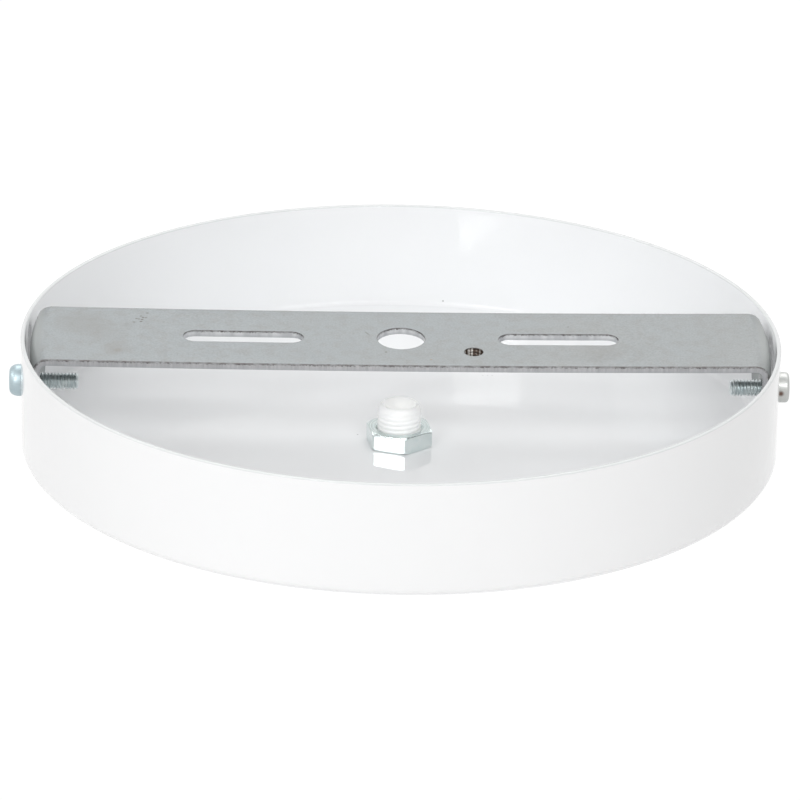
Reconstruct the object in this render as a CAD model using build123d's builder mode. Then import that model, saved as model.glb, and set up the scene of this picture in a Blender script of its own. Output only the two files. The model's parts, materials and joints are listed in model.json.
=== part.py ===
from build123d import *
import os
from math import cos, radians, sin, sqrt, tan

# Round steel ceiling canopy on its crossbar, open side up, in millimetres.
# The origin is the middle of the crossbar's top face, the face that lies against the ceiling.
# +X runs along the crossbar and +Z points up. The canopy hangs on the crossbar's two side screws
# and is turned a few degrees about them, so its pieces are drawn on a plane that turns with it.

# Canopy shell, a drawn cup
canopy_diameter = 170.0
canopy_height = 26.0
canopy_sheet = 1.0
floor_corner_radius = 1.0
floor_dish = 1.0
floor_seat_diameter = 30.0
rim_edge_round = 0.35
rim_to_screw = 11.85
canopy_turn = 4.67

# Crossbar, one bent strip
bar_width = 27.0
bar_thickness = 1.6
bend_inner_radius = 1.5
punched_edge_round = 0.25
bar_top_to_screw = 11.5
tab_below_screw = 5.5
tab_corner_radius = 4.0
tab_wall_gap = 1.15
centre_hole_diameter = 10.7
slot_length = 26.8
slot_width = 5.5
slot_pitch = 70.5
earth_hole_diameter = 4.2
earth_hole_x = 16.1
earth_hole_y = -6.4

# Side screws, M4 with pan heads
screw_thread_diameter = 3.9
screw_thread_pitch = 0.7
screw_head_diameter = 7.2
screw_head_height = 2.7
screw_head_round = 1.1
screw_left_length = 12.8
screw_right_length = 10.8
recess_arm_length = 3.8
recess_arm_width = 0.9
recess_depth = 1.4
recess_taper = 8.0

# Cord grip, one plastic moulding with an M10 x 1 tube
tube_thread_diameter = 9.86
tube_thread_pitch = 1.0
tube_above_floor = 9.2
tube_lead_height = 1.7
tube_mouth_diameter = 8.2
cord_bore_diameter = 7.3
bore_edge_round = 0.35
grip_body_diameter = 14.0
grip_body_height = 15.0
grip_foot_round = 1.5
grip_collar_height = 2.5
grip_flat_distance = 6.2
clamp_screw_below_floor = 8.5

# Clamp screw of the cord grip, plastic with a slotted head
clamp_thread_diameter = 3.9
clamp_thread_pitch = 0.7
clamp_head_diameter = 6.0
clamp_head_height = 2.2
clamp_head_round = 0.6
clamp_slot_width = 0.9
clamp_slot_depth = 1.1
clamp_travel = 2.6

# Hexagon nut on the cord grip's tube
nut_across_flats = 14.0
nut_thickness = 4.0
nut_turn = -20.5
nut_chamfer_angle = 20.0
nut_bore_chamfer = 0.6

# Clearances, on the radius or along the axis
thread_clearance = 0.05
side_hole_clearance = 0.3
floor_hole_clearance = 0.25
head_clearance = 0.05
clamp_tip_clearance = 0.1

# A 60 degree thread is this many pitches deep
THREAD_DEPTH = 0.61

canopy_radius = canopy_diameter / 2
wall_inner_radius = canopy_radius - canopy_sheet
rim_level = rim_to_screw
floor_under = rim_level - canopy_height
floor_top = floor_under + canopy_sheet
seat_under = floor_under - floor_dish
seat_top = floor_top - floor_dish

screw_radius = screw_thread_diameter / 2
tube_radius = tube_thread_diameter / 2
clamp_radius = clamp_thread_diameter / 2
bore_radius = cord_bore_diameter / 2

tab_radius = wall_inner_radius - tab_wall_gap
bend_outer_radius = bend_inner_radius + bar_thickness
bar_drop = bar_top_to_screw + tab_below_screw

# The canopy's own plane: its origin is on the side screws' axis and its normal is the canopy's axis.
turn = radians(canopy_turn)
canopy = Plane(origin=(0, 0, -bar_top_to_screw), x_dir=(1, 0, 0), z_dir=(0, sin(turn), cos(turn)))
canopy_axis = Axis(canopy.origin, canopy.z_dir)
canopy_section = Plane(origin=canopy.origin, x_dir=canopy.x_dir, z_dir=-canopy.y_dir)


def thread_profile(start, end, crest_radius, pitch):
    """Points (along the axis, radius) of a sharp thread that starts and ends at its root."""
    turns = max(1, round(abs(end - start) / pitch))
    step = (end - start) / turns
    root_radius = crest_radius - THREAD_DEPTH * pitch
    points = []
    for index in range(turns):
        points.append((start + index * step, root_radius))
        points.append((start + (index + 0.5) * step, crest_radius))
    points.append((end, root_radius))
    return points


os.makedirs("parts", exist_ok=True)

# Canopy shell: the cup's section turned about its axis, with the two side holes cut through the wall.
# The floor is dished: flat round the cord grip's hole, then rising in a shallow arc to its edge.
floor_hole_radius = tube_radius + floor_hole_clearance
side_hole_radius = screw_radius + side_hole_clearance
rim_round = min(rim_edge_round, 0.45 * canopy_sheet)
floor_seat_radius = floor_seat_diameter / 2
floor_edge_radius = wall_inner_radius - 2 * floor_corner_radius
dish_middle = (floor_seat_radius + floor_edge_radius) / 2

with BuildPart() as canopy_shell:
    with BuildSketch(canopy_section) as shell_section:
        with BuildLine() as shell_outline:
            Polyline(
                (floor_edge_radius, floor_under),
                (canopy_radius, floor_under),
                (canopy_radius, rim_level),
                (wall_inner_radius, rim_level),
                (wall_inner_radius, floor_top),
                (floor_edge_radius, floor_top),
            )
            ThreePointArc(
                (floor_edge_radius, floor_top),
                (dish_middle, floor_top - 0.75 * floor_dish),
                (floor_seat_radius, seat_top),
            )
            Polyline(
                (floor_seat_radius, seat_top),
                (floor_hole_radius, seat_top),
                (floor_hole_radius, seat_under),
                (floor_seat_radius, seat_under),
            )
            ThreePointArc(
                (floor_seat_radius, seat_under),
                (dish_middle, floor_under - 0.75 * floor_dish),
                (floor_edge_radius, floor_under),
            )
        make_face()
        outer_corner = shell_section.vertices().sort_by_distance((canopy_radius, floor_under))[0]
        fillet(outer_corner, floor_corner_radius + canopy_sheet)
        inner_corner = shell_section.vertices().sort_by_distance((wall_inner_radius, floor_top))[0]
        fillet(inner_corner, floor_corner_radius)
        rim_corners = shell_section.vertices().group_by(Axis.Y)[-1]
        fillet(rim_corners, rim_round)
    revolve(axis=canopy_axis)
    with BuildSketch(Plane(origin=canopy.origin, x_dir=canopy.y_dir, z_dir=canopy.x_dir)) as side_holes:
        Circle(side_hole_radius)
    extrude(amount=canopy_diameter, both=True, mode=Mode.SUBTRACT)
canopy_shell.part.label = "canopy_shell"
export_step(canopy_shell.part, "parts/canopy_shell.step")

# Crossbar: a cup section turned about the bar's middle gives tabs that follow the round wall,
# and the strip's end view trims it to its width and rounds the foot of each tab
web_flat_reach = sqrt((tab_radius - bend_outer_radius) ** 2 - (bar_width / 2) ** 2)

with BuildPart() as crossbar:
    with BuildSketch(Plane.XZ) as bar_section:
        with BuildLine() as bar_outline:
            Polyline(
                (0, 0),
                (tab_radius, 0),
                (tab_radius, -bar_drop),
                (tab_radius - bar_thickness, -bar_drop),
                (tab_radius - bar_thickness, -bar_thickness),
                (0, -bar_thickness),
                close=True,
            )
        make_face()
        bend_outer = bar_section.vertices().sort_by_distance((tab_radius, 0))[0]
        fillet(bend_outer, bend_outer_radius)
        inside = (tab_radius - bar_thickness, -bar_thickness)
        bend_inner = bar_section.vertices().sort_by_distance(inside)[0]
        fillet(bend_inner, bend_inner_radius)
    revolve(axis=Axis.Z)
    with BuildSketch(Plane.YZ) as strip_end:
        with Locations((0, -bar_drop / 2)):
            Rectangle(bar_width, bar_drop)
        fillet(strip_end.vertices().group_by(Axis.Y)[0], tab_corner_radius)
    extrude(amount=canopy_radius, both=True, mode=Mode.INTERSECT)
    with BuildSketch(Plane.XY) as web_holes:
        Circle(centre_hole_diameter / 2)
        with GridLocations(slot_pitch, 0, 2, 1):
            SlotOverall(slot_length, slot_width)
        with Locations((earth_hole_x, earth_hole_y)):
            Circle(earth_hole_diameter / 2)
    extrude(amount=-bar_thickness, mode=Mode.SUBTRACT)
    with BuildSketch(Plane.YZ) as tab_holes:
        with Locations((0, -bar_top_to_screw)):
            Circle(screw_radius + thread_clearance)
    extrude(amount=canopy_radius, both=True, mode=Mode.SUBTRACT)
    top_edges = crossbar.faces().sort_by(Axis.Z)[-1].edges()
    fillet(top_edges.filter_by(lambda edge: abs(edge.center().X) < web_flat_reach), punched_edge_round)
crossbar.part.label = "crossbar"
export_step(crossbar.part, "parts/crossbar.step")


def make_side_screw(side, length):
    """Pan head screw through the canopy's wall into the tab; side is -1 at the left and 1 at the right."""
    section_plane = Plane(
        origin=(side * canopy_radius, 0, -bar_top_to_screw), x_dir=(side, 0, 0), z_dir=(0, -1, 0)
    )
    under_head = head_clearance
    head_top = under_head + screw_head_height
    thread = thread_profile(-length, under_head, screw_radius, screw_thread_pitch)
    with BuildPart() as screw:
        with BuildSketch(section_plane) as screw_section:
            with BuildLine() as screw_outline:
                Polyline(
                    (-length, 0),
                    *thread,
                    (under_head, screw_head_diameter / 2),
                    (head_top, screw_head_diameter / 2),
                    (head_top, 0),
                    close=True,
                )
            make_face()
            head_corner = screw_section.vertices().sort_by_distance((head_top, screw_head_diameter / 2))[0]
            fillet(head_corner, screw_head_round)
        revolve(axis=Axis(section_plane.origin, section_plane.x_dir))
        recess_plane = Plane(
            origin=section_plane.origin + section_plane.x_dir * head_top,
            x_dir=(0, 1, 0),
            z_dir=section_plane.x_dir,
        )
        with BuildSketch(recess_plane) as recess:
            Rectangle(recess_arm_length, recess_arm_width)
            Rectangle(recess_arm_width, recess_arm_length)
        extrude(amount=-recess_depth, taper=recess_taper, mode=Mode.SUBTRACT)
    return screw


side_screw_left = make_side_screw(-1, screw_left_length)
side_screw_left.part.label = "side_screw_left"
export_step(side_screw_left.part, "parts/side_screw_left.step")

side_screw_right = make_side_screw(1, screw_right_length)
side_screw_right.part.label = "side_screw_right"
export_step(side_screw_right.part, "parts/side_screw_right.step")

# Cord grip: threaded tube above the floor, clamp body below it, a bore right through
tube_top = seat_top + tube_above_floor
thread_top = tube_top - tube_lead_height
grip_foot = seat_under - grip_body_height
grip_body_radius = grip_body_diameter / 2
clamp_level = seat_under - clamp_screw_below_floor
tube_thread = thread_profile(seat_under, thread_top, tube_radius, tube_thread_pitch)
clamp_axis_plane = Plane(
    origin=canopy.from_local_coords(Vector(0, 0, clamp_level)), x_dir=canopy.x_dir, z_dir=-canopy.y_dir
)

with BuildPart() as cord_grip:
    with BuildSketch(canopy_section) as grip_section:
        with BuildLine() as grip_outline:
            Polyline(
                (bore_radius, grip_foot),
                (grip_body_radius, grip_foot),
                (grip_body_radius, seat_under),
                *[(radius, level) for level, radius in tube_thread],
                (tube_mouth_diameter / 2, tube_top),
                (bore_radius, tube_top),
                close=True,
            )
        make_face()
        foot_corner = grip_section.vertices().sort_by_distance((grip_body_radius, grip_foot))[0]
        fillet(foot_corner, grip_foot_round)
        bore_corners = grip_section.vertices().group_by(Axis.X)[0]
        fillet(bore_corners, bore_edge_round)
    revolve(axis=canopy_axis)
    with BuildSketch(canopy.offset(grip_foot)) as grip_flat:
        with Locations((0, -grip_flat_distance)):
            Rectangle(grip_body_diameter, grip_body_diameter, align=(Align.CENTER, Align.MAX))
    extrude(amount=grip_body_height - grip_collar_height, mode=Mode.SUBTRACT)
    with BuildSketch(clamp_axis_plane) as clamp_hole:
        Circle(clamp_radius + thread_clearance)
    extrude(amount=grip_body_diameter, mode=Mode.SUBTRACT)
cord_grip.part.label = "cord_grip"
export_step(cord_grip.part, "parts/cord_grip.step")

# Clamp screw, backed out so that its tip is clear of the cord bore
clamp_section_plane = Plane(
    origin=clamp_axis_plane.origin, x_dir=clamp_axis_plane.z_dir, z_dir=canopy.x_dir
)
clamp_tip = bore_radius + clamp_tip_clearance
clamp_under_head = grip_flat_distance + clamp_travel + clamp_tip_clearance
clamp_head_top = clamp_under_head + clamp_head_height
clamp_thread = thread_profile(clamp_tip, clamp_under_head, clamp_radius, clamp_thread_pitch)

with BuildPart() as cord_grip_screw:
    with BuildSketch(clamp_section_plane) as clamp_section:
        with BuildLine() as clamp_outline:
            Polyline(
                (clamp_tip, 0),
                *clamp_thread,
                (clamp_under_head, clamp_head_diameter / 2),
                (clamp_head_top, clamp_head_diameter / 2),
                (clamp_head_top, 0),
                close=True,
            )
        make_face()
        clamp_corner = clamp_section.vertices().sort_by_distance((clamp_head_top, clamp_head_diameter / 2))[0]
        fillet(clamp_corner, clamp_head_round)
    revolve(axis=Axis(clamp_section_plane.origin, clamp_section_plane.x_dir))
    with BuildSketch(clamp_axis_plane.offset(clamp_head_top)) as clamp_slot:
        Rectangle(clamp_head_diameter, clamp_slot_width)
    extrude(amount=-clamp_slot_depth, mode=Mode.SUBTRACT)
cord_grip_screw.part.label = "cord_grip_screw"
export_step(cord_grip_screw.part, "parts/cord_grip_screw.step")

# Hexagon nut on the floor, its corners cut back by a cone above and below
nut_top = seat_top + nut_thickness
nut_bore_radius = tube_radius + thread_clearance
nut_flat_radius = nut_across_flats / 2
nut_corner_radius = nut_flat_radius / cos(radians(30))
nut_corner_drop = (nut_corner_radius - nut_flat_radius) * tan(radians(nut_chamfer_angle))

with BuildPart() as hex_nut:
    with BuildSketch(canopy.offset(seat_top)) as nut_outline:
        RegularPolygon(nut_flat_radius, 6, major_radius=False, rotation=nut_turn)
    extrude(amount=nut_thickness)
    with BuildSketch(canopy_section) as nut_section:
        with BuildLine() as nut_envelope:
            Polyline(
                (nut_bore_radius, seat_top + nut_bore_chamfer),
                (nut_bore_radius + nut_bore_chamfer, seat_top),
                (nut_flat_radius, seat_top),
                (nut_corner_radius, seat_top + nut_corner_drop),
                (nut_corner_radius, nut_top - nut_corner_drop),
                (nut_flat_radius, nut_top),
                (nut_bore_radius + nut_bore_chamfer, nut_top),
                (nut_bore_radius, nut_top - nut_bore_chamfer),
                close=True,
            )
        make_face()
    revolve(axis=canopy_axis, mode=Mode.INTERSECT)
hex_nut.part.label = "hex_nut"
export_step(hex_nut.part, "parts/hex_nut.step")
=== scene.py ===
import json
from math import cos, pi, radians, sin

import bmesh
import bpy
import numpy as np
from mathutils import Matrix, Vector


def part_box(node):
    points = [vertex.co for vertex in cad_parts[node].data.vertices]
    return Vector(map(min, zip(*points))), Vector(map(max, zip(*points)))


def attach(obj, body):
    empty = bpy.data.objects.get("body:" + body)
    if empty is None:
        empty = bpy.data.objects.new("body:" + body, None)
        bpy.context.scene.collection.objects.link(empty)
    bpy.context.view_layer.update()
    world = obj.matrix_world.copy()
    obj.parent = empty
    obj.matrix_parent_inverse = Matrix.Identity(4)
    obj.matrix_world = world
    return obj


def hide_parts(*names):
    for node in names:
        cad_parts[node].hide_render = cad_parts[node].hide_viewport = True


# Ceiling canopy on its crossbar, dressed for the camera. Everything is in metres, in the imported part's frame:
# x along the crossbar, z up to the ceiling, the origin in the middle of the crossbar's top face.

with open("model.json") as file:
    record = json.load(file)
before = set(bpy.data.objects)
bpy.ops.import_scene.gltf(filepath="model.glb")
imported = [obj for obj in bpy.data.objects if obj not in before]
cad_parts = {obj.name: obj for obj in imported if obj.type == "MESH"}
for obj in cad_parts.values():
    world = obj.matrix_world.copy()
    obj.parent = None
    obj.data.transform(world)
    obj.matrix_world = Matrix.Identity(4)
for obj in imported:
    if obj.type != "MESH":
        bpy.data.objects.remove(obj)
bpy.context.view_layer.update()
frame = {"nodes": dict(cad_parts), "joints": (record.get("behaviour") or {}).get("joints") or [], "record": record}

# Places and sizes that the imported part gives
joints = {joint["name"]: joint for joint in frame["joints"]}
mounts = {mount["name"]: mount for mount in frame["record"]["mounts"]}

screw_line = np.array(joints["canopy_swing"]["pos_m"], float)
canopy_up = -np.array(mounts["cord_bore"]["axis"], float)
canopy_up /= np.linalg.norm(canopy_up)
canopy_back = np.array([0.0, canopy_up[2], -canopy_up[1]])
canopy_basis = np.array([[1.0, 0.0, 0.0], canopy_back, canopy_up])


def on_canopy(points):
    """Carries points drawn on the canopy (x right, y back, z up, from the side screws' line) into the frame:
    the screws' line plus x, y and z times the canopy's three directions."""
    return screw_line + np.asarray(points, float) @ canopy_basis


def canopy_extent(node):
    """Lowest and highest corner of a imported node, measured along the canopy's own directions."""
    mesh = frame["nodes"][node].data
    points = np.empty(len(mesh.vertices) * 3)
    mesh.vertices.foreach_get("co", points)
    drawn = (points.reshape(-1, 3) - screw_line) @ canopy_basis.T
    return drawn.min(0), drawn.max(0)


def mount_size(mount, name):
    """A size of a mount in metres."""
    return mounts[mount]["dims"][name] / 1000


shell_low, shell_high = canopy_extent("canopy_shell")
grip_low, grip_high = canopy_extent("cord_grip")
nut_low, nut_high = canopy_extent("hex_nut")
bar_low, bar_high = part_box("crossbar")

# Canopy shell
canopy_radius = shell_high[0]
rim_level = shell_high[2]
seat_under = shell_low[2]
seat_top = nut_low[2]
sheet = seat_top - seat_under
wall_inner_radius = canopy_radius - sheet
wall_middle_radius = (wall_inner_radius + canopy_radius) / 2
corner_radius = 0.001
floor_dish = 0.001
floor_under = seat_under + floor_dish
floor_top = seat_top + floor_dish
floor_seat_radius = 0.015
floor_edge_radius = wall_inner_radius - 2 * corner_radius
rim_round = 0.00035
floor_hole_radius = 0.00518
side_hole_radius = 0.00225
side_block = 0.006
side_block_lines = 9

# Crossbar
bar_half_width = bar_high.y
bar_thickness = mount_size("centre_hole", "length_mm")
bar_foot = bar_low.z
tab_radius = bar_high.x
bend_radius = 0.0031
bend_span = 0.0036
web_end = tab_radius - bend_radius
tab_start = web_end + bend_span
tab_span = -bar_foot - bend_radius
bar_end = tab_start + tab_span
tab_corner_radius = 0.004
rolled_edge = 0.00028
hole_edge = 0.00013
burr_edge = 0.0001
bar_bow = 0.00062
bow_fade = 0.008
centre_hole_radius = mount_size("centre_hole", "r_mm")
slot_radius = mount_size("ceiling_slots", "hole_r_mm")
slot_half_core = mount_size("ceiling_slots", "slot_length_mm") / 2 - slot_radius
slot_place = mount_size("ceiling_slots", "spacing_x_mm") / 2
earth_hole_radius = mount_size("earth_hole", "r_mm")
earth_hole_place = np.array(mounts["earth_hole"]["pos_m"][:2])
earth_thread_pitch = 0.0008
earth_thread_depth = 0.0002
earth_collar_depth = 0.0024
earth_collar_wall = 0.0005
tab_hole_radius = 0.002

# Blocks of the crossbar's grid round its holes, and the flat coordinates inside which the grid isn't
# stretched
slot_margin = 0.0016
centre_block = 0.008
earth_block_start = 0.012
tab_block = 0.0035
tab_block_half_width = 0.0045
keep_along = 0.055
keep_across = 0.0112
keep_down = 0.0122
keep_down_at_corners = 0.004

# Side screws and the grip's clamp screw
screw_thread_radius = 0.00195
screw_thread_pitch = 0.00076
left_head = {"radius": 0.0036, "height": 0.0026, "round_across": 0.0015, "round_along": 0.0020}
right_head = {"radius": 0.00342, "height": 0.0024, "round_across": 0.0008, "round_along": 0.0008}
head_lifts = {-1: 0.0001, 1: 0.00022}
head_gap = 0.00002
hug_height = 0.0007
seat_round = 0.00004
clamp_thread_radius = 0.00195
clamp_thread_pitch = 0.0007
clamp_head = {"radius": 0.003, "height": 0.0022, "round_across": 0.0006, "round_along": 0.0006}
clamp_slot_depth = 0.0011
clamp_slot_walls = (0.00035, 0.00052)
thread_depth_share = 0.56
tip_depth_share = 1.15

# Cord grip
tube_thread_radius = 0.00494
tube_thread_pitch = 0.00105
tube_thread_depth = 0.00014
tube_rise = 0.0004
tube_lead = 0.0022
cord_bore_radius = mount_size("cord_bore", "r_mm")
bore_edge_round = 0.00025
grip_body_radius = grip_high[0]
grip_flat = 0.0062
grip_collar = 0.0025
grip_collar_round = 0.0003
grip_foot_round = 0.0015
grip_wall_start = cord_bore_radius + 0.0006
clamp_level = seat_under - 0.0085
clamp_hole_radius = 0.002
clamp_block = 0.0032
clamp_block_lines = 13

# Hexagon nut
nut_flat_radius = 0.00685
nut_turn = radians(-20.5)
nut_face_radius = 0.0070
nut_top_chamfer = radians(24.0)
nut_edge_round = 0.00026
nut_bottom_chamfer = radians(25.0)
nut_corner_wear = 0.00009
nut_corner_spread = 0.00006
nut_bore_radius = 0.00498
nut_bore_chamfer = 0.0005

# Camera, as the photograph was taken
camera_distance = 1.2012
camera_elevation = 26.927
camera_azimuth = -1.457
camera_roll = -1.244
camera_aim = Vector((0.00006, 0.0, -0.01547))
camera_focal_pixels = 5338.4
frame_pixels = 800
sensor_width = 36.0

# Painted glow: emission standing in for light that the nylon lets through, and how much more of it is
# painted inside the bore
nylon_painted_glow = 0.105
bore_painted_glow_gain = 0.5

# Studio
floor_level = -0.30
floor_reach = 6.0
floor_glow = 1.05
floor_glow_share = 0.9
surround_light = 0.495
softbox_distance = 2.0


def arc(centre, radius, start, end, steps):
    """Points on a round corner: the centre plus (radius cos, radius sin) of an angle from start to end
    degrees; two radii make it an ellipse."""
    angle = np.radians(np.linspace(start, end, steps))
    return np.asarray(centre) + np.broadcast_to(radius, 2) * np.stack([np.cos(angle), np.sin(angle)], 1)


def line(start, end, steps):
    """Evenly spaced points from start to end."""
    share = np.linspace(0.0, 1.0, steps)[:, None]
    return np.asarray(start) * (1 - share) + np.asarray(end) * share


def outline(*pieces):
    """One profile from arcs and lines laid end to end, without the points that two of them share."""
    points = np.vstack(pieces)
    apart = np.linalg.norm(np.diff(points, axis=0), axis=1) > 1e-8
    return points[np.concatenate([[True], apart])]


def levels_through(*stops):
    """Heights from evenly spaced runs, each (start, end, steps), laid end to end."""
    return outline(*(line((0, start), (0, end), steps) for start, end, steps in stops))[:, 1]


def upright(radius, levels):
    """A straight wall's part of a profile: the same radius at every level."""
    return np.stack([np.full(len(levels), radius), levels], 1)


def turned(radius, angle, level):
    """The grid of points (radius cos a, radius sin a, level)."""
    radius, angle, level = np.broadcast_arrays(radius, angle, level)
    return np.stack([radius * np.cos(angle), radius * np.sin(angle), level], -1)


def grid_faces(rows, columns, close_rows=False, close_columns=False, open_cells=None):
    """Corner numbers of the quads of a grid of points, less the cells that open_cells marks."""
    row, column = np.meshgrid(
        np.arange(rows if close_rows else rows - 1),
        np.arange(columns if close_columns else columns - 1),
        indexing="ij",
    )
    next_row, next_column = (row + 1) % rows, (column + 1) % columns
    quads = np.stack(
        [row * columns + column, next_row * columns + column,
         next_row * columns + next_column, row * columns + next_column], -1
    )
    if open_cells is not None:
        quads = quads[~open_cells]
    return quads.reshape(-1, 4)


def band(points):
    """A surface whose columns close on themselves, as (points, quads)."""
    return points, grid_faces(*points.shape[:2], False, True)


def ring(points, open_cells=None):
    """A surface whose rows and columns both close on themselves, as (points, quads)."""
    return points, grid_faces(*points.shape[:2], True, True, open_cells)


def make_piece(name, surfaces, material, body, replaced=(), sharp=35.0, depths=None):
    """One mesh from several surfaces, each (grid of points, its quads): welded where they meet, its faces
    turned outwards, smooth but for edges sharper than the given degrees. depths, one number per point, is
    kept as the attribute strip_depth."""
    points, faces, start = [], [], 0
    for grid, quads in surfaces:
        flat = grid.reshape(-1, 3)
        points.append(flat)
        faces.append(quads + start)
        start += len(flat)
    mesh = bpy.data.meshes.new(name)
    mesh.from_pydata(np.vstack(points), [], np.vstack(faces))
    if depths is not None:
        attribute = mesh.attributes.new("strip_depth", "FLOAT", "POINT")
        attribute.data.foreach_set("value", np.asarray(depths, np.float32))
    shape = bmesh.new()
    shape.from_mesh(mesh)
    bmesh.ops.remove_doubles(shape, verts=shape.verts, dist=2e-6)
    bmesh.ops.dissolve_degenerate(shape, edges=shape.edges, dist=1e-7)
    bmesh.ops.recalc_face_normals(shape, faces=shape.faces)
    shape.to_mesh(mesh)
    shape.free()
    mesh.shade_smooth()
    mesh.set_sharp_from_angle(angle=radians(sharp))
    mesh.materials.append(material)
    piece = bpy.data.objects.new(name, mesh)
    bpy.context.scene.collection.objects.link(piece)
    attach(piece, body)
    if replaced:
        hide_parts(*replaced)
    return piece


def block_border(across, along):
    """The border of a block of grid cells, once round, starting at its first corner."""
    return np.vstack([
        np.stack([across[:-1], np.full(len(across) - 1, along[0])], 1),
        np.stack([np.full(len(along) - 1, across[-1]), along[:-1]], 1),
        np.stack([across[:0:-1], np.full(len(across) - 1, along[-1])], 1),
        np.stack([np.full(len(along) - 1, across[0]), along[:0:-1]], 1),
    ])


def around_hole(border, centre, half_core, radius, shares):
    """Points between a hole's edge and its block's border. With C the point of the hole's core line nearest
    to the border point P, and D the direction from C to P, row t is C + D (r + (|P - C| - r) t)."""
    core = np.array([centre[0], centre[1]]) + np.stack(
        [np.clip(border[:, 0] - centre[0], -half_core, half_core), np.zeros(len(border))], 1
    )
    reach = np.linalg.norm(border - core, axis=1, keepdims=True)
    direction = (border - core) / reach
    return np.stack([core + direction * (radius + (reach - radius) * share) for share in shares])


def hole_in_wall(border, level, radius, walls, flat=np.inf):
    """A round hole through a round wall, as (depth, across, height): on each wall radius in turn, a block's
    border of angles and heights is drawn in to the hole, with depth = min(sqrt(wall^2 - across^2), flat)."""
    layers = []
    for wall_radius, shares in walls:
        block = np.stack([wall_radius * np.sin(border[:, 0]), border[:, 1]], 1)
        across, height = np.moveaxis(around_hole(block, (0, level), 0.0, radius, shares), -1, 0)
        layers.append((np.minimum(np.sqrt(wall_radius ** 2 - across ** 2), flat), across, height))
    return [np.vstack(part) for part in zip(*layers)]


def smooth_step(value, low, high):
    """0 below low, 1 above high, and 3 t^2 - 2 t^3 between them."""
    share = np.clip((value - low) / (high - low), 0.0, 1.0)
    return share * share * (3 - 2 * share)


# Canopy shell

def dished(level):
    """The floor as (radius, height): flat round the hole, then level - dish (1 - t^2), with t from 0 to 1 at
    its edge."""
    radius = np.concatenate([
        np.linspace(floor_hole_radius, floor_seat_radius, 8),
        np.linspace(floor_seat_radius, floor_edge_radius, 45)[1:],
    ])
    share = np.clip((radius - floor_seat_radius) / (floor_edge_radius - floor_seat_radius), 0.0, 1.0)
    return np.stack([radius, level - floor_dish * (1 - share ** 2)], 1)


def shell_profile():
    """The cup's closed section as (radius, level): floor, inner corner, wall, rim, wall, outer corner,
    underside."""
    inner_centre = (wall_inner_radius - corner_radius, floor_top + corner_radius)
    outer_radius = corner_radius + sheet
    rim_start = rim_level - rim_round
    levels = levels_through(
        (floor_top + corner_radius, -side_block, 6), (-side_block, side_block, side_block_lines),
        (side_block, rim_start, 6),
    )
    return outline(
        dished(floor_top),
        line((floor_edge_radius, floor_top), (inner_centre[0], floor_top), 3),
        arc(inner_centre, corner_radius, -90, 0, 9),
        upright(wall_inner_radius, levels),
        arc((wall_inner_radius + rim_round, rim_start), rim_round, 180, 90, 7),
        arc((canopy_radius - rim_round, rim_start), rim_round, 90, 0, 7),
        upright(canopy_radius, levels[::-1]),
        arc((canopy_radius - outer_radius, floor_under + outer_radius), outer_radius, 0, -90, 11),
        line((canopy_radius - outer_radius, floor_under), (floor_edge_radius, floor_under), 3),
        dished(floor_under)[::-1],
    )


def make_shell(material):
    """The cup: its section turned about the canopy's axis, P(a, s) = (r(s) cos a, r(s) sin a, z(s)), with a
    block of cells left out at each side screw, and that block filled up to the round hole on both faces of
    the wall."""
    profile = shell_profile()
    turns = 360
    hole_cells = 5
    on_wall = np.abs(profile[:, 1]) < side_block + 1e-5
    near_right = (np.arange(turns) + hole_cells) % turns < 2 * hole_cells
    near_hole = near_right | np.roll(near_right, turns // 2)
    open_cells = (on_wall & np.roll(on_wall, -1))[:, None] & near_hole
    grid = turned(profile[:, :1], np.radians(np.arange(turns)), profile[:, 1:])
    surfaces = [ring(on_canopy(grid), open_cells)]

    border = block_border(np.radians(np.arange(-hole_cells, hole_cells + 1)),
                          np.linspace(-side_block, side_block, side_block_lines))
    depth, across, height = hole_in_wall(border, 0, side_hole_radius, (
        (canopy_radius, (1, 0.6, 0.3, 0.1, 0)), (wall_inner_radius, (0, 0.1, 0.3, 0.6, 1)),
    ))
    for side in (1, -1):
        surfaces.append(band(on_canopy(np.stack([side * depth, across, height], -1))))
    return make_piece("canopy_cup", surfaces, material, "canopy", ["canopy_shell"])


# Crossbar

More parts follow.
